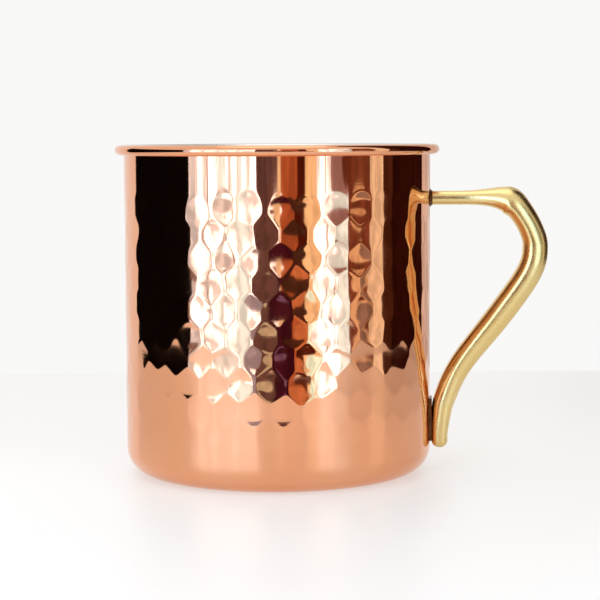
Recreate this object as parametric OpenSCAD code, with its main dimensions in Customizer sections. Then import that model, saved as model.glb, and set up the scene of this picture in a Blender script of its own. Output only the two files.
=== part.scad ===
// Straight-sided hammered copper drinking mug with a rolled rim, a thin
// food-safe lining and a cast brass handle brazed to the wall at two places.
// The mug stands on z = 0 with its axis on Z, and the handle lies along +X.
// The hammer marks are shallower than a tenth of a millimetre, so the wall
// here is the smooth cylinder that just touches their ridges.

/* [Mug body] */
// Outer diameter of the straight wall
body_d = 84; // [64:1:110]
// Height from the table to the top of the rim
body_h = 90; // [70:1:130]
// Thickness of the copper sheet
sheet_t = 0.8; // [0.5:0.1:1.2]
// Outer radius of the turned corner between the wall and the base
corner_r = 7; // [3:0.5:12]

/* [Rolled rim] */
// Diameter of the rolled bead
bead_d = 2.8; // [2.6:0.1:4]
// How far the sheet flares outward before it rolls over
flare_out = 0.5; // [0.4:0.1:1.5]
// Angle from upright at which the flare runs into the bead
flare_angle = 45; // [30:5:60]
// Gap between the free end of the roll and the wall
curl_gap = 0.2; // [0.1:0.05:0.3]

/* [Lining] */
// Thickness of the nickel lining
lining_t = 0.2; // [0.1:0.05:0.4]

/* [Handle] */
// Drop from the top of the rim to the middle of the handle's arm
arm_drop = 14.8; // [9:0.2:25]
// Height of the foot's lower end above the table
foot_rise = 6.6; // [2:0.2:16]
// How far the middle of the grip stands out from the wall
handle_reach = 28.7; // [22:0.1:40]
// Diameter of the round arm at the wall
arm_d = 3.8; // [3:0.1:6]
// Thickness across the bend at the thumb corner
thumb_t = 7.7; // [6:0.1:10]
// Width of the thumb corner
thumb_w = 10.4; // [7:0.2:14]
// Thickness of the grip
grip_t = 7; // [5:0.1:9]
// Width of the grip
grip_w = 9; // [6:0.2:13]
// Thickness of the foot
foot_t = 4.6; // [3:0.1:7]
// Width of the foot
foot_w = 9.4; // [6:0.2:13]
// Length of the foot that lies along the wall
foot_len = 13.5; // [9:0.5:20]
// How far the handle has left the wall at the top of the foot
foot_lift = 1.5; // [0.8:0.1:3]
// Radius of the rounding at the foot's lower end
foot_round = 1.8; // [0.5:0.1:2.1]
// Boxiness of the grip's section, where 2 is a plain ellipse
grip_power = 3.2; // [2:0.1:4]
// Share of the grip's width that its bevels take off towards the inner face
inner_cut = 0.48; // [0:0.02:0.8]
// Share of the grip's width that is tapered off towards the outer face
outer_cut = 0.2; // [0:0.05:0.5]
// How far the grip's widest line lies towards the inner face, as a share of the thickness
ridge_shift = 0.22; // [0:0.01:0.3]
// Boxiness of the section's inner half, where the bevels meet a flat back
back_power = 5; // [2:0.5:6]

/* [Brazing] */
// Thickness of the braze between the foot and the wall
braze_t = 0.5; // [0.3:0.1:1]
// Margin of braze that shows round the foot
braze_margin = 0.4; // [0.2:0.1:1]
// Radius of the braze fillet round the arm
fillet_r = 0.6; // [0.5:0.1:1.5]
// Thickness at the fillet's thin edges
fillet_edge = 0.1; // [0.05:0.05:0.3]

/* [Hidden] */
$fn = 96;
SECTION_SIDES = 24;   // sides of the handle's swept section
ROW_STEPS = 4;        // rings from one handle row to the next
CAP_STEPS = 4;        // rings in the rounding at the foot's end
WALL_SIDES = 360;     // sides of the wall's cylinder where a thin pad is cut to it
COPE_DEPTH = 1;       // how deep a solid starts in the wall before it is cut to the wall's curve

body_r = body_d / 2;
bore_r = body_r - sheet_t;
bead_r = bead_d / 2;
bead_x = bore_r + flare_out + bead_r;
bead_z = body_h - bead_r;
// The flare is an arc that leaves the bore upright and meets the bead's own circle.
flare_r = bead_r + flare_out / (1 - cos(flare_angle));
flare_z = bead_z - (flare_r - bead_r) * sin(flare_angle);
flare_x = bore_r + flare_r;
curl_end = acos((bead_x - body_r - curl_gap) / bead_r);

arm_z = body_h - arm_drop;
handle_h = arm_z - foot_rise;
foot_press = 0.2;     // the foot's round back is flattened this deep where it is brazed
foot_x = body_r + braze_t + foot_t / 2 - foot_press;

function mix(a, b, k) = a + (b - a) * k;
// A point given as a share of the reach and a share of the height from the foot's end to the arm
function reach_x(k) = body_r + k * handle_reach;
function height_z(k) = foot_rise + k * handle_h;

// The handle's path from the wall at the arm to the foot's end.
// Each row is [x, z, thickness in the handle's plane, width across it, power of the section,
// share of the bevel and taper].
handle_rows = [
    // Arm: a round rod that thickens towards the corner
    [reach_x(0.00), arm_z, arm_d, arm_d, 2, 0],
    [reach_x(0.27), arm_z, arm_d, mix(arm_d, thumb_w, 0.06), 2, 0],
    [reach_x(0.43), height_z(1.001), mix(arm_d, thumb_t, 0.08), mix(arm_d, thumb_w, 0.2), 2.1, 0.15],
    [reach_x(0.57), height_z(1.001), mix(arm_d, thumb_t, 0.33), mix(arm_d, thumb_w, 0.5), 2.2, 0.4],
    [reach_x(0.68), height_z(0.997), mix(arm_d, thumb_t, 0.70), mix(arm_d, thumb_w, 0.8), 2.4, 0.6],
    // Thumb corner
    [reach_x(0.765), height_z(0.985), thumb_t, thumb_w, mix(2, grip_power, 0.4), 0.8],
    [reach_x(0.855), height_z(0.949), 0.98 * grip_t, thumb_w, mix(2, grip_power, 0.6), 1],
    // Outward bend and the long slope of the grip
    [reach_x(0.955), height_z(0.878), 0.95 * grip_t, mix(thumb_w, grip_w, 0.5), mix(2, grip_power, 0.8), 1],
    [reach_x(1.00), height_z(0.803), 0.98 * grip_t, grip_w, grip_power, 1],
    [reach_x(0.94), height_z(0.70), grip_t, grip_w, grip_power, 1],
    [reach_x(0.67), height_z(0.535), grip_t, grip_w, grip_power, 1],
    [reach_x(0.30), height_z(0.335), mix(grip_t, foot_t, 0.3), mix(grip_w, foot_w, 0.3), grip_power, 0.8],
    // Foot: bends upright and lies along the wall
    [foot_x + foot_lift, foot_rise + foot_len, mix(grip_t, foot_t, 0.45), foot_w, grip_power, 0.4],
    [foot_x + 0.3 * foot_lift, foot_rise + 0.62 * foot_len, mix(grip_t, foot_t, 0.75), foot_w, grip_power, 0.2],
    [foot_x, foot_rise + 0.27 * foot_len, foot_t, foot_w, grip_power, 0],
    [foot_x, foot_rise + foot_round, foot_t, foot_w, grip_power, 0]
];
ROWS = len(handle_rows);

// Rows of the path with one more at each end, so that the curve starts and ends straight
function padded(rows) = concat([2 * rows[0] - rows[1]], rows, [2 * rows[ROWS - 1] - rows[ROWS - 2]]);

// Catmull-Rom curve between b and c
function between(a, b, c, d, t) =
    0.5 * (2 * b + (c - a) * t + (2 * a - 5 * b + 4 * c - d) * t * t + (3 * b - a - 3 * c + d) * t * t * t);

function smooth_rows(p) = concat(
    [for (i = [1 : ROWS - 1], k = [0 : ROW_STEPS - 1]) between(p[i - 1], p[i], p[i + 1], p[i + 2], k / ROW_STEPS)],
    [p[ROWS]]);

// The rows that round off the lower end, like a fillet all round it
function cap_rows(last) = [
    for (k = [1 : CAP_STEPS])
        let (a = 90 * k / CAP_STEPS, shrink = 2 * foot_round * (1 - cos(a)))
        [last[0], last[1] - foot_round * sin(a), last[2] - shrink, last[3] - shrink, last[4], last[5]]
];

function power_of(c, p) = sign(c) * pow(abs(c), 2 / p);

// Share of the width left at a share u of the way from the widest line to the inner or outer face
function width_left(u, inner, shaped) = 1 - shaped * (inner ? inner_cut * u : outer_cut * u * u);

// One ring of the sweep: a superellipse across the path's direction, bevelled inside and tapered outside.
// The arm's first ring is coped to the round wall, and no point goes behind the foot's braze.
function ring(row, along, first) = [
    for (k = [0 : SECTION_SIDES - 1])
        let (a = 360 * k / SECTION_SIDES,
             inner = sin(a) < 0,
             power = inner ? mix(row[4], back_power, row[5]) : row[4],
             u = abs(power_of(sin(a), power)),
             shift = ridge_shift * row[5] * row[2],
             out = -shift + u * (inner ? shift - row[2] / 2 : shift + row[2] / 2),
             y = power_of(cos(a), power) * row[3] / 2 * width_left(u, inner, row[5]),
             x = row[0] - along[1] * out,
             z = row[1] + along[0] * out)
        [first ? sqrt(body_r * body_r - y * y) : max(x, body_r + (z < arm_z - arm_d ? braze_t : 0)), y, z]
];

function unit(v) = v / norm(v);
function direction(rows, i) =
    let (a = rows[max(i - 1, 0)], b = rows[min(i + 1, len(rows) - 1)])
    unit([b[0] - a[0], b[1] - a[1]]);

// A closed skin over rings of SECTION_SIDES points each
module skin(rings) {
    n = SECTION_SIDES;
    last = len(rings) - 1;
    sides = [
        for (i = [0 : last - 1], k = [0 : n - 1])
            let (a = i * n + k, b = i * n + (k + 1) % n)
            each [[a, b, a + n], [b, b + n, a + n]]
    ];
    start = [[for (k = [n - 1 : -1 : 0]) k]];
    end = [[for (k = [0 : n - 1]) last * n + k]];
    polyhedron(points = [for (r = rings) each r], faces = concat(start, sides, end));
}

// Half-section of a solid round cup, from z = 0 up to h
module cup_half(r, h, corner) {
    square([r - corner, h]);
    translate([0, corner]) square([r, h - corner]);
    translate([r - corner, corner]) circle(corner);
}

// Part of a flat ring between two angles
module ring_arc(r_in, r_out, from, to) {
    far = r_out * 3;
    mid = (from + to) / 2;
    intersection() {
        difference() {
            circle(r_out);
            circle(r_in);
        }
        polygon([[0, 0], far * [cos(from), sin(from)], far * [cos(mid), sin(mid)], far * [cos(to), sin(to)]]);
    }
}

// The rolled bead: a hollow curl, open only on the side next to the wall
module curl_half() {
    translate([bead_x, bead_z]) difference() {
        circle(bead_r);
        circle(bead_r - sheet_t);
        polygon([
            [0, 0],
            bead_d * [-cos(flare_angle), sin(flare_angle)],
            bead_d * [-1, 0],
            bead_d * [-cos(curl_end), -sin(curl_end)]
        ]);
    }
}

// The spun copper cup: base, turned corner, straight wall, flare and rolled rim in one sheet
module mug_body() {
    color("#c8704a") rotate_extrude() {
        difference() {
            cup_half(body_r, flare_z, corner_r);
            translate([0, sheet_t]) cup_half(bore_r, body_h, corner_r - sheet_t);
        }
        translate([flare_x, flare_z]) ring_arc(flare_r - sheet_t, flare_r, 180 - flare_angle, 180);
        curl_half();
    }
}

// The food-safe lining, which covers the inside up to the top of the flare
module nickel_lining() {
    lined_r = bore_r - lining_t;
    floor_z = sheet_t + lining_t;
    color("#c9c9c6") rotate_extrude() {
        difference() {
            translate([0, sheet_t]) cup_half(bore_r, flare_z - sheet_t, corner_r - sheet_t);
            translate([0, floor_z]) cup_half(lined_r, body_h, corner_r - floor_z);
        }
        translate([flare_x, flare_z]) ring_arc(flare_r, flare_r + lining_t, 180 - flare_angle, 180);
    }
}

// The cast brass handle, swept along its path
module handle() {
    path = smooth_rows(padded(handle_rows));
    rows = concat(path, cap_rows(path[len(path) - 1]));
    rings = [for (i = [0 : len(rows) - 1])
        ring(rows[i], i < len(path) ? direction(path, i) : [0, -1], i == 0)];
    color("#d9b45c") skin(rings);
}

// The fillet of braze round the arm, cut to the round wall
module upper_braze() {
    color("#b98a4a") difference() {
        translate([body_r, 0, arm_z]) rotate([0, 90, 0]) {
            rotate_extrude() translate([arm_d / 2, -COPE_DEPTH]) difference() {
                square([fillet_r, COPE_DEPTH + fillet_r]);
                translate([fillet_r + fillet_edge, COPE_DEPTH + fillet_r + fillet_edge]) circle(fillet_r);
            }
        }
        cylinder(r = body_r, h = body_h, $fn = WALL_SIDES);
    }
}

// The pad of braze between the foot and the wall
module lower_braze() {
    pad_w = foot_w + 2 * braze_margin - 2 * foot_round;
    pad_h = foot_len - foot_round;
    color("#a9793f") difference() {
        translate([body_r - COPE_DEPTH, 0, foot_rise]) rotate([90, 0, 90]) linear_extrude(COPE_DEPTH + braze_t) {
            translate([-pad_w / 2, foot_round]) square([pad_w, pad_h]);
        }
        cylinder(r = body_r, h = body_h, $fn = WALL_SIDES);
    }
}

mug_body();
nickel_lining();
handle();
upper_braze();
lower_braze();
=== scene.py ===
"""Hammered copper mug with a rolled rim, a nickel lining and a cast brass handle.

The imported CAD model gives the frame. Each metal piece is rebuilt here from the
same sizes as a finer mesh, so that polished surfaces reflect smoothly and the
hammer marks are real geometry. Sizes are in millimetres and angles in degrees
until a mesh is made.
"""
import math
import random

import bpy
import numpy as np
from mathutils import Matrix, Vector

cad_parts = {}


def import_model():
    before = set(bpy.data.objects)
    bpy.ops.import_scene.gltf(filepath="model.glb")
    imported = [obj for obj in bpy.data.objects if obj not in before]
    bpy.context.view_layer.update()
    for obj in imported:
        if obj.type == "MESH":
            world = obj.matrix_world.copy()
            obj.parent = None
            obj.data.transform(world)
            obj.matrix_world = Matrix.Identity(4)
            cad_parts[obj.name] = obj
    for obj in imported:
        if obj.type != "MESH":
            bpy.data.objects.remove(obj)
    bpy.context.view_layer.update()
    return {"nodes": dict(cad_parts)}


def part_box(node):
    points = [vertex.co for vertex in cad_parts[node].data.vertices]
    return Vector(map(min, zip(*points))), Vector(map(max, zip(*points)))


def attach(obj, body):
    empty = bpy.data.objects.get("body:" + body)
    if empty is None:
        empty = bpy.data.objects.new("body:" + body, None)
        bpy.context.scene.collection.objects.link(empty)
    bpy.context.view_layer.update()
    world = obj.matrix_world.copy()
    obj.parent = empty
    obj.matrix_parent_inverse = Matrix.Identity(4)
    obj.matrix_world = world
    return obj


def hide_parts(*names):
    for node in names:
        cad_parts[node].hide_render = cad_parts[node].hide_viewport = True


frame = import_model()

BODY = "root"
MM = 0.001

# ---------------------------------------------------------------- sizes, mm
RIM_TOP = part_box("mug_body")[1][2] / MM
RIM_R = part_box("mug_body")[1][0] / MM
WALL_R = 42.0
SHEET = 0.8
CORNER_R = 7.0
BEAD_R = 1.4
FLARE_ANGLE = 45.0
LINING = 0.2
BORE_R = WALL_R - SHEET
BEAD_X = RIM_R - BEAD_R
BEAD_Z = RIM_TOP - BEAD_R
FLARE_OUT = BEAD_X - BEAD_R - BORE_R
FLARE_R = BEAD_R + FLARE_OUT / (1 - math.cos(math.radians(FLARE_ANGLE)))
FLARE_Z = BEAD_Z - (FLARE_R - BEAD_R) * math.sin(math.radians(FLARE_ANGLE))
CURL_GAP = 0.2
CURL_END = math.degrees(math.acos((BEAD_X - WALL_R - CURL_GAP) / BEAD_R))

# Handle, as in the CAD model
ARM_Z = RIM_TOP - 14.8
FOOT_RISE = 6.6
REACH = 28.7
ARM_D = 3.8
THUMB_T, THUMB_W = 7.7, 10.4
GRIP_T, GRIP_W = 7.0, 9.0
FOOT_T, FOOT_W, FOOT_LEN, FOOT_LIFT, FOOT_ROUND = 4.6, 9.4, 13.5, 1.5, 1.8
GRIP_POWER, BACK_POWER = 3.2, 5.0
INNER_CUT, OUTER_CUT, RIDGE_SHIFT = 0.48, 0.2, 0.22
BRAZE_T = 0.5
FOOT_PRESS = 0.2
FOOT_X = WALL_R + BRAZE_T + FOOT_T / 2 - FOOT_PRESS

# Hammer marks: shallow bowls in a staggered lattice. A bowl is flatter in its middle
# than a sphere of its radius, and meets that sphere at its reach.
MARKS_ROUND = 36
MARK_ROWS = 10
MARK_FIRST = 5.0  # bearing, degrees
MARK_TOP_Z = 73.4
MARK_PITCH_Z = 6.38
MARK_DEPTH = 0.102
MARK_RADIUS = 88.0
MARK_REACH = 3.66
MARK_FLATNESS = 0.35
MARK_STRETCH = 0.85  # below 1, a mark is taller than it is wide
RIDGE_SHARPNESS = 70.0
FADING_ROWS = 2.2  # the marks fade out over these rows at the bottom
SCATTER_ROUND = 0.08  # in steps between marks
SCATTER_UP = 0.6
DEPTH_SCATTER = (0.86, 1.14)
RADIUS_SCATTER = (0.85, 1.2)
LINING_MARKS = 0.45  # share of the marks' depth that shows on the lining

# The lining's thin skin over the bead: its thickness, and the angle round the bead where it ends
SKIN = 0.02
SKIN_END = 100

# How finely the cup is divided
ROUND_STEPS = 504
WALL_STEPS = 132


# ---------------------------------------------------------------- helpers
def mix(a, b, k):
    """The value a share k of the way from a to b."""
    return a + (b - a) * k


def new_object(name, points_mm, faces):
    """A smooth-shaded object at the origin, from points in millimetres."""
    mesh = bpy.data.meshes.new(name)
    mesh.from_pydata((np.asarray(points_mm) * MM).tolist(), [], faces)
    mesh.validate()
    mesh.shade_smooth()
    obj = bpy.data.objects.new(name, mesh)
    bpy.context.scene.collection.objects.link(obj)
    return obj


def arc(cx, cz, r, start, end, steps):
    """Points on an arc in the (radius, height) plane, without its first one."""
    angles = np.radians(np.linspace(start, end, steps + 1)[1:])
    return [(cx + r * math.cos(a), cz + r * math.sin(a)) for a in angles]


def line(a, b, steps):
    """Points from a to b, without a."""
    dx, dz = b[0] - a[0], b[1] - a[1]
    return [(a[0] + dx * k / steps, a[1] + dz * k / steps) for k in range(1, steps + 1)]


def quads(rings, count):
    """Faces between neighbouring rings of points, with count points in each ring."""
    faces = []
    for i in range(rings - 1):
        a, b = i * count, (i + 1) * count
        faces += [(a + k, a + (k + 1) % count, b + (k + 1) % count, b + k) for k in range(count)]
    return faces


def end_faces(rings, count):
    """One face over the first ring and one over the last."""
    return [tuple(range(count - 1, -1, -1)), tuple(range((rings - 1) * count, rings * count))]


def revolve(name, profile, steps, depth_at):
    """A closed solid of revolution. The profile starts and ends on the axis.
    depth_at(theta, rows) gives how far each point moves towards the axis."""
    rows = np.array(profile[1:-1])
    theta = np.linspace(0, 2 * math.pi, steps, endpoint=False)
    r = np.repeat(rows[:, :1], steps, axis=1) - depth_at(theta, rows)
    z = np.repeat(rows[:, 1:], steps, axis=1)
    points = np.stack([r * np.cos(theta), r * np.sin(theta), z], axis=-1).reshape(-1, 3).tolist()
    first, last = len(points), len(points) + 1
    points += [(0, 0, profile[0][1]), (0, 0, profile[-1][1])]
    faces = quads(len(rows), steps)
    top = (len(rows) - 1) * steps
    faces += [(first, (k + 1) % steps, k) for k in range(steps)]
    faces += [(last, top + k, top + (k + 1) % steps) for k in range(steps)]
    return new_object(name, points, faces)


def finish_piece(obj, material, slot, *nodes):
    """Gives a piece its material and ties it to the frame."""
    obj.data.materials.append(material)
    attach(obj, BODY)
    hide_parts(*nodes)


# ---------------------------------------------------------------- hammer marks
def hammer_marks():
    """The marks as rows of [bearing, height, depth, radius], in a slightly uneven lattice."""
    rng = random.Random(16)
    marks = []
    step = 2 * math.pi / MARKS_ROUND
    for row in range(MARK_ROWS):
        fade = min(1.0, (MARK_ROWS - row) / FADING_ROWS)
        stagger = 0.5 * (row % 2)
        for k in range(MARKS_ROUND):
            place = k + stagger + rng.gauss(0, SCATTER_ROUND)
            bearing = math.radians(MARK_FIRST) + place * step
            height = MARK_TOP_Z - row * MARK_PITCH_Z + rng.gauss(0, SCATTER_UP)
            depth = MARK_DEPTH * fade * rng.uniform(*DEPTH_SCATTER)
            radius = MARK_RADIUS * rng.uniform(*RADIUS_SCATTER)
            marks.append((bearing, height, depth, radius))
    return np.array(marks)


MARKS = hammer_marks()


def hammered(theta, rows):
    """Depth of the marks below the smooth cylinder, on both faces of the straight wall.
    At each point it is a soft maximum of the marks near it and the cylinder."""
    depth = np.zeros((len(rows), len(theta)))
    # Rows further in than the lining aren't on the wall, and marks further off don't count
    innermost = BORE_R - 2 * LINING
    near_z = 2.5 * MARK_PITCH_Z
    for i, (r, z) in enumerate(rows):
        if r < innermost or z < CORNER_R or z > FLARE_Z:
            continue
        near = MARKS[np.abs(MARKS[:, 1] - z) < near_z]
        turn = theta[:, None] - near[None, :, 0]
        turn = (turn + math.pi) % (2 * math.pi) - math.pi
        square = (turn * WALL_R) ** 2 + MARK_STRETCH * (near[None, :, 1] - z) ** 2
        square = square * mix(1, square / MARK_REACH ** 2, MARK_FLATNESS)
        each = near[None, :, 2] - square / (2 * near[None, :, 3])
        each = np.concatenate([each, np.zeros((len(theta), 1))], axis=1)
        depth[i] = np.log(np.exp(RIDGE_SHARPNESS * each).sum(axis=1)) / RIDGE_SHARPNESS
    return depth


# ---------------------------------------------------------------- the copper cup
def copper_cup():
    """Base, corner, hammered wall, rolled bead with the gap behind it, flare and inner wall,
    as one closed sheet."""
    flat_r = WALL_R - CORNER_R
    flare_x = BORE_R + FLARE_R
    profile = [(0, 0)]
    profile += [(flat_r * k, 0) for k in (0.3, 0.6, 0.85, 1.0)]
    profile += arc(flat_r, CORNER_R, CORNER_R, -90, 0, 12)
    profile += line((WALL_R, CORNER_R), (WALL_R, FLARE_Z), WALL_STEPS)
    # The gap behind the bead: up the flare's back, across, and down the roll's free end.
    # Then the roll goes round outside to the flare.
    profile += arc(flare_x, FLARE_Z, FLARE_R - SHEET, 180, 168, 3)
    tip = math.radians(180 + CURL_END)
    for r in (BEAD_R - 0.5 * SHEET, BEAD_R):
        profile.append((BEAD_X + r * math.cos(tip), BEAD_Z + r * math.sin(tip)))
    profile += arc(BEAD_X, BEAD_Z, BEAD_R, 180 + CURL_END - 360, 180 - FLARE_ANGLE, 22)
    profile += arc(flare_x, FLARE_Z, FLARE_R, 180 - FLARE_ANGLE, 180, 5)
    profile += line((BORE_R, FLARE_Z), (BORE_R, CORNER_R), 6)
    profile += arc(flat_r, CORNER_R, CORNER_R - SHEET, 0, -90, 6)
    profile += [(flat_r * k, SHEET) for k in (0.6, 0.3)] + [(0, SHEET)]
    return revolve("copper_cup", profile, ROUND_STEPS, hammered)


def lining():
    """The nickel lining, which follows the hammer marks faintly on its inner face."""
    lined_r = BORE_R - LINING
    floor_z = SHEET + LINING
    flat_r = WALL_R - CORNER_R
    flare_x = BORE_R + FLARE_R
    flare_end = 180 - FLARE_ANGLE
    full_from = flare_end + 8  # from here down, the lining has its full thickness
    profile = [(0, SHEET)]
    profile += [(flat_r * k, SHEET) for k in (0.5, 1.0)]
    profile += arc(flat_r, CORNER_R, CORNER_R - SHEET, -90, 0, 5)
    profile += line((BORE_R, CORNER_R), (BORE_R, FLARE_Z), 3)
    profile += arc(flare_x, FLARE_Z, FLARE_R, 180, flare_end, 5)
    # The lining thins to a skin that goes over the bead's inner side, almost to its top
    profile += arc(BEAD_X, BEAD_Z, BEAD_R, flare_end, SKIN_END, 5)
    profile += arc(BEAD_X, BEAD_Z, BEAD_R + SKIN, SKIN_END, flare_end, 5)
    profile += arc(flare_x, FLARE_Z, FLARE_R + LINING, full_from, 180, 6)
    profile += line((lined_r, FLARE_Z), (lined_r, CORNER_R), 100)
    profile += arc(flat_r, CORNER_R, CORNER_R - floor_z, 0, -90, 10)
    profile += [(flat_r * k, floor_z) for k in (0.8, 0.6, 0.4, 0.2)] + [(0, floor_z)]

    def faint(theta, rows):
        """The marks on the inner face only, the rows that lie on its radius."""
        depth = LINING_MARKS * hammered(theta, rows)
        depth[rows[:, 0] > lined_r + 0.01] = 0
        return depth

    return revolve("lining", profile, 360, faint)


# ---------------------------------------------------------------- the handle
def reach_x(k):
    """A place along the handle's reach: 0 at the wall, 1 at the outermost point of its path."""
    return WALL_R + k * REACH


def height_z(k):
    """A place up the handle: 0 at the foot's end, 1 at the arm."""
    return FOOT_RISE + k * (ARM_Z - FOOT_RISE)


def handle_rows():
    """The path from the wall to the foot, as rows of x, z, thickness, width, the power of
    the section's outline and the share of the bevel."""
    soft, softer, softest = [mix(2, GRIP_POWER, k) for k in (0.8, 0.6, 0.4)]

    # Thickness and width part of the way from the arm's to the thumb corner's, and
    # thickness part of the way from the grip's to the foot's
    def arm_t(k):
        return mix(ARM_D, THUMB_T, k)

    def arm_w(k):
        return mix(ARM_D, THUMB_W, k)

    def foot_t(k):
        return mix(GRIP_T, FOOT_T, k)

    return np.array([
        [reach_x(0.00), ARM_Z, ARM_D, ARM_D, 2, 0],
        [reach_x(0.27), ARM_Z, ARM_D, arm_w(0.06), 2, 0],
        [reach_x(0.43), height_z(1.001), arm_t(0.08), arm_w(0.2), 2.1, 0.15],
        [reach_x(0.57), height_z(1.001), arm_t(0.33), arm_w(0.5), 2.2, 0.4],
        [reach_x(0.68), height_z(0.997), arm_t(0.70), arm_w(0.8), 2.4, 0.6],
        [reach_x(0.765), height_z(0.985), THUMB_T, THUMB_W, softest, 0.8],
        [reach_x(0.855), height_z(0.949), 0.98 * GRIP_T, THUMB_W, softer, 1],
        [reach_x(0.955), height_z(0.878), 0.95 * GRIP_T, mix(THUMB_W, GRIP_W, 0.5), soft, 1],
        [reach_x(1.00), height_z(0.803), 0.98 * GRIP_T, GRIP_W, GRIP_POWER, 1],
        [reach_x(0.94), height_z(0.70), GRIP_T, GRIP_W, GRIP_POWER, 1],
        [reach_x(0.67), height_z(0.535), GRIP_T, GRIP_W, GRIP_POWER, 1],
        [reach_x(0.30), height_z(0.335), foot_t(0.3), mix(GRIP_W, FOOT_W, 0.3), GRIP_POWER, 0.8],
        [FOOT_X + FOOT_LIFT, FOOT_RISE + FOOT_LEN, foot_t(0.45), FOOT_W, GRIP_POWER, 0.4],
        [FOOT_X + 0.3 * FOOT_LIFT, FOOT_RISE + 0.62 * FOOT_LEN, foot_t(0.75), FOOT_W, GRIP_POWER, 0.2],
        [FOOT_X, FOOT_RISE + 0.27 * FOOT_LEN, FOOT_T, FOOT_W, GRIP_POWER, 0],
        [FOOT_X, FOOT_RISE + FOOT_ROUND, FOOT_T, FOOT_W, GRIP_POWER, 0],
    ])


def smooth_path(rows, steps):
    """Catmull-Rom through the rows."""
    p = np.vstack([2 * rows[0] - rows[1], rows, 2 * rows[-1] - rows[-2]])
    out = []
    for i in range(1, len(p) - 2):
        a, b, c, d = p[i - 1:i + 3]
        for k in range(steps):
            t = k / steps
            out.append(0.5 * (2 * b + (c - a) * t + (2 * a - 5 * b + 4 * c - d) * t ** 2
                              + (3 * b - a - 3 * c + d) * t ** 3))
    return np.array(out + [p[-2]])


def power_of(value, power):
    """A sine or cosine bent so that a circle becomes a superellipse of the power."""
    return np.sign(value) * np.abs(value) ** (2 / power)


def section(angle, thick, wide, power, bevel):
    """A ring of the sweep: distance outwards in the handle's plane, and distance across it.
    A bevel moves the widest line inwards and narrows both sides away from it."""
    inner = np.sin(angle) < 0
    power = np.where(inner, mix(power, BACK_POWER, bevel), power)
    u = np.abs(power_of(np.sin(angle), power))
    shift = RIDGE_SHIFT * bevel * thick
    out = -shift + u * np.where(inner, shift - thick / 2, shift + thick / 2)
    left = 1 - bevel * np.where(inner, INNER_CUT * u, OUTER_CUT * u * u)
    return out, power_of(np.cos(angle), power) * wide / 2 * left


def brass_handle():
    """The cast handle as one closed sweep, coped to the wall at the arm and flat where the
    foot is brazed."""
    sides, steps, cap = 96, 12, 8
    path = smooth_path(handle_rows(), steps)
    along = np.gradient(path[:, :2], axis=0)
    along /= np.linalg.norm(along, axis=1)[:, None]
    foot_end = path[-1]
    for k in range(1, cap + 1):
        a = math.radians(90 * k / cap)
        end = foot_end.copy()
        end[1] -= FOOT_ROUND * math.sin(a)
        end[2:4] -= 2 * FOOT_ROUND * (1 - math.cos(a))
        path = np.vstack([path, end])
        along = np.vstack([along, (0, -1)])
    angle = np.linspace(0, 2 * math.pi, sides, endpoint=False)
    points = []
    for i, (x, z, thick, wide, power, bevel) in enumerate(path):
        out, y = section(angle, thick, wide, power, bevel)
        px = x - along[i, 1] * out
        pz = z + along[i, 0] * out
        # The arm's end is cut to the wall's curve, and the foot's back lies flat on its braze
        if i == 0:
            px = np.sqrt(WALL_R ** 2 - y ** 2)
        px = np.maximum(px, np.where(pz < ARM_Z - ARM_D, WALL_R + BRAZE_T, 0))
        points.append(np.stack([px, y, pz], axis=-1))
    faces = quads(len(points), sides) + end_faces(len(points), sides)
    return new_object("brass_handle", np.concatenate(points), faces)


# ---------------------------------------------------------------- materials
def metal(name, colour, roughness):
    """A metal with its node tree's main parts: (material, nodes, links, shader)."""
    mat = bpy.data.materials.new(name)
    mat.use_nodes = True
    nodes, links = mat.node_tree.nodes, mat.node_tree.links
    shader = nodes["Principled BSDF"]
    shader.inputs["Base Color"].default_value = (*colour, 1)
    shader.inputs["Metallic"].default_value = 1.0
    shader.inputs["Roughness"].default_value = roughness
    return mat, nodes, links, shader


def noise(nodes, links, scale, detail, finer=(1, 1, 1)):
    """Noise in object coordinates, which are in metres, optionally finer along some axes."""
    where = nodes.new("ShaderNodeTexCoord")
    mapping = nodes.new("ShaderNodeMapping")
    mapping.inputs["Scale"].default_value = finer
    tex = nodes.new("ShaderNodeTexNoise")
    tex.inputs["Scale"].default_value = scale
    tex.inputs["Detail"].default_value = detail
    links.new(where.outputs["Object"], mapping.inputs["Vector"])
    links.new(mapping.outputs["Vector"], tex.inputs["Vector"])
    return tex.outputs["Fac"]


def spread(nodes, links, value, low, high, start=0.35, end=0.65):
    """Maps a value from start and end to low and high, and holds it there beyond them."""
    node = nodes.new("ShaderNodeMapRange")
    node.inputs["From Min"].default_value = start
    node.inputs["From Max"].default_value = end
    node.inputs["To Min"].default_value = low
    node.inputs["To Max"].default_value = high
    links.new(value, node.inputs["Value"])
    return node.outputs["Result"]


def tint(nodes, links, shader, scale, a, b, detail=4):
    """Gives a shader a base colour that wanders between a and b."""
    value = spread(nodes, links, noise(nodes, links, scale, detail), 0, 1)
    node = nodes.new("ShaderNodeMix")
    node.data_type = "RGBA"
    node.inputs["A"].default_value = (*a, 1)
    node.inputs["B"].default_value = (*b, 1)
    links.new(value, node.inputs["Factor"])
    links.new(node.outputs["Result"], shader.inputs["Base Color"])


def bump(nodes, links, shader, value, strength, distance):
    """Fine unevenness of the surface, its distance in metres."""
    node = nodes.new("ShaderNodeBump")
    node.inputs["Strength"].default_value = strength
    node.inputs["Distance"].default_value = distance
    links.new(value, node.inputs["Height"])
    links.new(node.outputs["Normal"], shader.inputs["Normal"])


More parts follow.
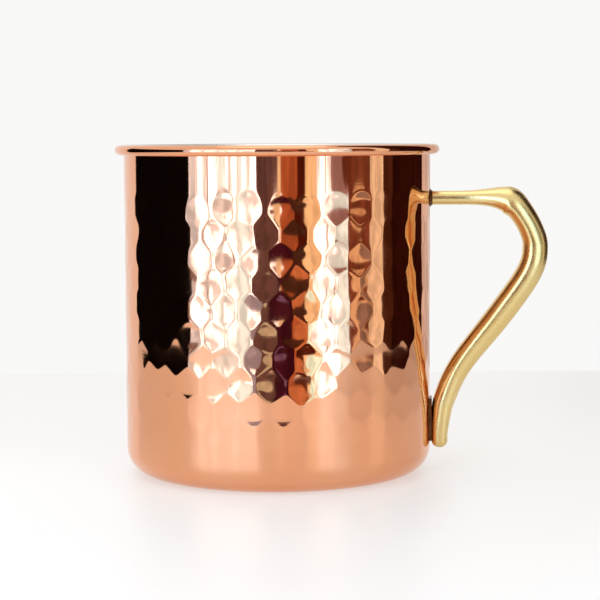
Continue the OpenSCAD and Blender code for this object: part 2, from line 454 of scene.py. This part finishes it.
def copper_metal():
    """Mirror-polished copper with a slight haze and polishing lines round the mug."""
    mat, nodes, links, shader = metal("polished_copper", (0.86, 0.38, 0.20), 0.04)
    tint(nodes, links, shader, 45, (0.87, 0.41, 0.225), (0.85, 0.38, 0.20))
    haze = noise(nodes, links, 120, 6, (1, 1, 0.6))
    links.new(spread(nodes, links, haze, 0.03, 0.06), shader.inputs["Roughness"])
    polish = noise(nodes, links, 60, 4, (1, 1, 30))
    bump(nodes, links, shader, polish, 0.1, 0.00001)
    return mat


def brass_metal():
    """Cast brass, lightly polished over its uneven skin."""
    mat, nodes, links, shader = metal("cast_brass", (0.82, 0.62, 0.27), 0.27)
    tint(nodes, links, shader, 60, (0.83, 0.63, 0.28), (0.77, 0.56, 0.22))
    haze = noise(nodes, links, 220, 5)
    links.new(spread(nodes, links, haze, 0.22, 0.32), shader.inputs["Roughness"])
    bump(nodes, links, shader, noise(nodes, links, 110, 2), 0.3, 0.00006)
    return mat


def nickel_metal():
    """Satin nickel with spun lines round the mug."""
    mat, nodes, links, shader = metal("nickel_lining", (0.66, 0.63, 0.58), 0.28)
    tint(nodes, links, shader, 50, (0.74, 0.71, 0.66), (0.67, 0.64, 0.59))
    spun = noise(nodes, links, 30, 6, (1, 1, 60))
    links.new(spread(nodes, links, spun, 0.24, 0.34), shader.inputs["Roughness"])
    bump(nodes, links, shader, spun, 0.12, 0.00002)
    return mat


def braze_metal():
    """Rough brazing metal, coloured dark brown so that the joints show as dark lines."""
    mat, nodes, links, shader = metal("braze", (0.16, 0.06, 0.025), 0.35)
    tint(nodes, links, shader, 900, (0.20, 0.08, 0.03), (0.07, 0.02, 0.008))
    bump(nodes, links, shader, noise(nodes, links, 1200, 4), 0.4, 0.00005)
    return mat


# ---------------------------------------------------------------- the studio
# Distances of the camera and the panels are in metres
CAMERA_AZIMUTH = 4.0
CAMERA_DISTANCE = 0.5181
CAMERA_HEIGHT = 0.0933
CAMERA_PITCH = 5.106
CAMERA_YAW = 0.676
CAMERA_ROLL = -0.269
LENS = 112.8
# Table edges round the mug's axis, mm: left, right, front, back, corner radius
TABLE = (-285, 300, -220, 213, 30)
PANEL_RADIUS = 1.25
PANEL_GAP = 0.004
PANEL_STRENGTH = 1.15
EYE_Z = 45  # mm, the height that elevations are measured from
SMALL_PANEL = 12  # degrees high, below which a panel has a rounded outline
WINDOW_UNEVEN, ROOM_UNEVEN = 0.62, 0.35


def bearing_xy(bearing, radius):
    """A point at a bearing round the mug: 0 is towards the camera, 90 to the camera's right."""
    a = math.radians(bearing + CAMERA_AZIMUTH)
    return radius * math.sin(a), -radius * math.cos(a)


def glow(name, colour, strength, uneven):
    """Emission whose brightness wanders below its strength, by the share given."""
    mat = bpy.data.materials.new(name)
    mat.use_nodes = True
    nodes, links = mat.node_tree.nodes, mat.node_tree.links
    nodes.remove(nodes["Principled BSDF"])
    light = nodes.new("ShaderNodeEmission")
    light.inputs["Color"].default_value = (*colour, 1)
    clutter = noise(nodes, links, 13, 5)
    brightness = spread(nodes, links, clutter, strength * (1 - uneven), strength, 0.40, 0.58)
    links.new(brightness, light.inputs["Strength"])
    links.new(light.outputs["Emission"], nodes["Material Output"].inputs["Surface"])
    return mat


def panel(name, start, end, low, high, colour, radius):
    """A curved studio panel round the mug, between two bearings and two elevations, seen
    only in reflections."""
    rounded = high - low < SMALL_PANEL
    steps = 16 if rounded else max(2, int(abs(end - start) / 3))
    points = []
    for k in range(steps + 1):
        share, shrink = k / steps, 0
        if rounded:
            share = 0.5 - 0.5 * math.cos(math.pi * k / steps)
            shrink = 0.5 - 0.5 * max(0.001, 1 - abs(2 * share - 1) ** 3) ** 0.5
        x, y = bearing_xy(start + (end - start) * share, radius)
        for elevation in (mix(low, high, shrink), mix(high, low, shrink)):
            z = radius * math.tan(math.radians(elevation)) / MM + EYE_Z
            points.append((x / MM, y / MM, z))
    faces = [(2 * k, 2 * k + 2, 2 * k + 3, 2 * k + 1) for k in range(steps)]
    obj = new_object(name, points, faces)
    uneven = WINDOW_UNEVEN if colour is DAY else ROOM_UNEVEN
    obj.data.materials.append(glow(name, colour, PANEL_STRENGTH, uneven))
    obj.visible_camera = False


DAY = (2.6, 3.5, 5.0)
HAZY = (1.1, 1.9, 2.7)
PALE = (1.0, 1.05, 0.95)
BLACK = (0.004, 0.003, 0.003)
# The room round the mug: name, bearings from and to, elevations from and to, colour.
# A later panel stands in front of an earlier one.
ROOM = [
    ("flag_left", -128.5, -66.6, -20, 22, BLACK),
    ("window_left", -66.8, -14.8, -16, 26, DAY),
    ("room_middle", -15, 0, -16, 30, (0.15, 0.10, 0.12)),
    ("room_wood", 0, 14.5, -16, 30, (0.50, 0.17, 0.08)),
    ("door_dark", 14.2, 20, -16, 30, (0.09, 0.015, 0.008)),
    ("wall_warm", 19.8, 28.5, -16, 30, (1.1, 1.05, 0.78)),
    ("window_right", 28.2, 41, -16, 26, DAY),
    ("curtain", 40.8, 52.5, -16, 30, HAZY),
    ("room_brown", 52.2, 71, -16, 30, (0.22, 0.08, 0.05)),
    ("wall_white", 70.8, 83.4, -16, 40, PALE),
    ("flag_right", 83.2, 136, -20, 72, (0.030, 0.007, 0.005)),
    ("flag_edge", 83.2, 93, -20, 72, (0.075, 0.028, 0.016)),
    ("screen_right", 136, 168, -20, 60, (0.74, 0.68, 0.64)),
    ("left_frame", -42, -39.5, -16, 26, HAZY),
    ("left_mullion", -52, -50.8, -16, 26, (0.7, 0.85, 1.1)),
    ("left_cord", -35, -34.3, -16, 26, (0.45, 0.5, 0.6)),
    ("right_mullion", 34.2, 35.2, -16, 26, (0.7, 0.85, 1.1)),
    ("left_frame_side", -27.8, -25.5, -16, 26, HAZY),
    ("left_jamb", -66.6, -61.5, -16, 26, (0.9, 1.3, 1.9)),
    ("plant_pot", -68, -63, -5.8, -4.1, (0.25, 0.22, 0.25)),
    ("chair_back", -43.5, -35, -3.2, 0.0, (0.95, 1.3, 1.8)),
    ("chair_seat", -55, -47, -5.6, -4.4, (0.85, 1.2, 1.7)),
    ("sill_left", -48, -31, -9.5, -6.8, (0.95, 1.5, 2.1)),
    ("drape", -30, -21, -8.6, -2.0, HAZY),
    ("sofa", -22.5, -12.5, -12, -5.3, (0.50, 0.62, 1.0)),
    ("book", -12, -4.5, -8.6, -6.4, (0.80, 0.95, 0.85)),
    ("lamp_shade", -3.4, 3.2, -2.6, -0.3, (2.0, 2.4, 3.2)),
    ("lamp_base", -1.2, 1.4, -1.8, -0.7, (0.2, 0.1, 0.15)),
    ("strip_light", 0, 2.4, -3.4, 30, (1.05, 1.05, 0.85)),
    ("desk", -3.8, 10.4, -16, -3.1, (0.06, 0.010, 0.03)),
    ("desk_edge", -0.8, 5.6, -9.2, -7.6, (0.22, 0.15, 0.40)),
    ("shelf_dark", 6, 21, -5.0, -1.6, (0.07, 0.035, 0.025)),
    ("chest", 10.8, 19.6, -8.4, -4.3, (0.67, 0.30, 0.15)),
    ("cushion", 20.5, 28, -8.4, -5.4, (1.1, 2.1, 2.5)),
    ("floor_dark", 17.5, 26, -16, -8.4, (0.10, 0.02, 0.01)),
    ("window_low", 31, 45, -16, -3.8, DAY),
    ("picture", 38.5, 52.5, -1.2, 2.6, (0.45, 0.34, 0.42)),
    ("picture_dark", 46, 56, 0.1, 8.0, (0.16, 0.05, 0.03)),
    ("handle_bar", 38, 40, -4.0, -3.2, (0.3, 0.3, 0.4)),
    ("shelf_light", 56, 66, -0.9, 0.3, (0.80, 0.60, 0.40)),
    ("panel_orange", 53.5, 71, -7, -2.5, (0.87, 0.72, 0.52)),
    ("panel_brown", 61, 70, -6.4, -2.9, (0.33, 0.27, 0.26)),
]


def studio():
    """The room as panels, each a little nearer to the mug than the one before."""
    for i, (name, *place, colour) in enumerate(ROOM):
        panel(name, *place, colour, PANEL_RADIUS - PANEL_GAP * i)


def table():
    """A pale table top under the mug, with rounded corners and edges."""
    mat = bpy.data.materials.new("pale_table_painted_glow")
    mat.use_nodes = True
    nodes, links = mat.node_tree.nodes, mat.node_tree.links
    shader = nodes["Principled BSDF"]
    shader.inputs["Roughness"].default_value = 0.4
    shader.inputs["Specular IOR Level"].default_value = 0.4
    shader.inputs["Emission Color"].default_value = (1.0, 0.985, 0.965, 1)
    # The table glows with painted light, which lightens the shadows on it. The glow falls off towards
    # the back, and to the right of the part that the camera sees, as painted shade. These distances
    # are in metres.
    where = nodes.new("ShaderNodeTexCoord")
    axes = nodes.new("ShaderNodeSeparateXYZ")
    links.new(where.outputs["Object"], axes.inputs[0])
    both = nodes.new("ShaderNodeMath")
    both.operation = "MULTIPLY"
    links.new(spread(nodes, links, axes.outputs["X"], 1, 0.62, 0.11, 0.26), both.inputs[0])
    links.new(spread(nodes, links, axes.outputs["Y"], 0.55, 0.42, -0.14, 0.16), both.inputs[1])
    links.new(both.outputs["Value"], shader.inputs["Emission Strength"])
    tint(nodes, links, shader, 8, (0.445, 0.44, 0.43), (0.43, 0.42, 0.41), 3)
    left, right, front, back, corner = TABLE
    turn = Matrix.Rotation(math.radians(CAMERA_AZIMUTH), 3, "Z")
    # Height, and how far the outline grows there
    rings = [(-12, -3), (-10.5, -0.8), (-8, 0), (-4, 0), (-1.2, -1.2), (0, -4)]
    corner_steps = 8
    count = 4 * (corner_steps + 1)
    points = []
    for z, grow in rings:
        corners = ((right, back, 0), (left, back, 90), (left, front, 180), (right, front, 270))
        for cx, cy, start in corners:
            mx = cx - math.copysign(corner, cx)
            my = cy - math.copysign(corner, cy)
            reach = corner + grow
            for k in range(corner_steps + 1):
                a = math.radians(start + 90 * k / corner_steps)
                points.append(turn @ Vector((mx + reach * math.cos(a), my + reach * math.sin(a), z)))
    faces = quads(len(rings), count) + end_faces(len(rings), count)
    obj = new_object("table_top", [tuple(p) for p in points], faces)
    obj.data.set_sharp_from_angle(angle=math.radians(50))
    obj.data.materials.append(mat)


def world():
    """A plain pale backdrop, which also lights the scene evenly."""
    w = bpy.data.worlds.new("studio")
    bpy.context.scene.world = w
    w.use_nodes = True
    background = w.node_tree.nodes["Background"]
    background.inputs["Color"].default_value = (0.945, 0.94, 0.93, 1)
    background.inputs["Strength"].default_value = 1.0


def soft_light():
    """A large soft light over the mug."""
    data = bpy.data.lights.new("soft_top", "AREA")
    data.shape = "DISK"
    data.size = 1.0
    data.energy = 2
    light = bpy.data.objects.new("soft_top", data)
    light.location = (0, 0, 1.3)
    bpy.context.scene.collection.objects.link(light)


def camera():
    """The camera at the photograph's viewing angle. It turns round the mug's axis, stands
    back and up, then pitches, yaws and rolls."""
    data = bpy.data.cameras.new("camera")
    data.lens = LENS
    data.sensor_width = 36
    data.clip_start = 0.01
    obj = bpy.data.objects.new("camera", data)
    bpy.context.scene.collection.objects.link(obj)
    place = (Matrix.Rotation(math.radians(CAMERA_AZIMUTH), 4, "Z")
             @ Matrix.Translation((0, -CAMERA_DISTANCE, CAMERA_HEIGHT)))
    turn = (Matrix.Rotation(math.radians(-CAMERA_YAW), 4, "Z")
            @ Matrix.Rotation(math.radians(90 - CAMERA_PITCH), 4, "X")
            @ Matrix.Rotation(math.radians(CAMERA_ROLL), 4, "Z"))
    obj.matrix_world = place @ turn
    bpy.context.scene.camera = obj


# ---------------------------------------------------------------- the scene
camera()
world()
soft_light()
studio()
table()
finish_piece(copper_cup(), copper_metal(), "copper", "mug_body")
finish_piece(lining(), nickel_metal(), "lining", "nickel_lining")
finish_piece(brass_handle(), brass_metal(), "brass", "handle")
BRAZE = braze_metal()
for name in ("upper_braze", "lower_braze"):
    node = frame["nodes"][name]
    node.data.materials.clear()
    node.data.materials.append(BRAZE)
bpy.context.scene.view_settings.view_transform = "Standard"
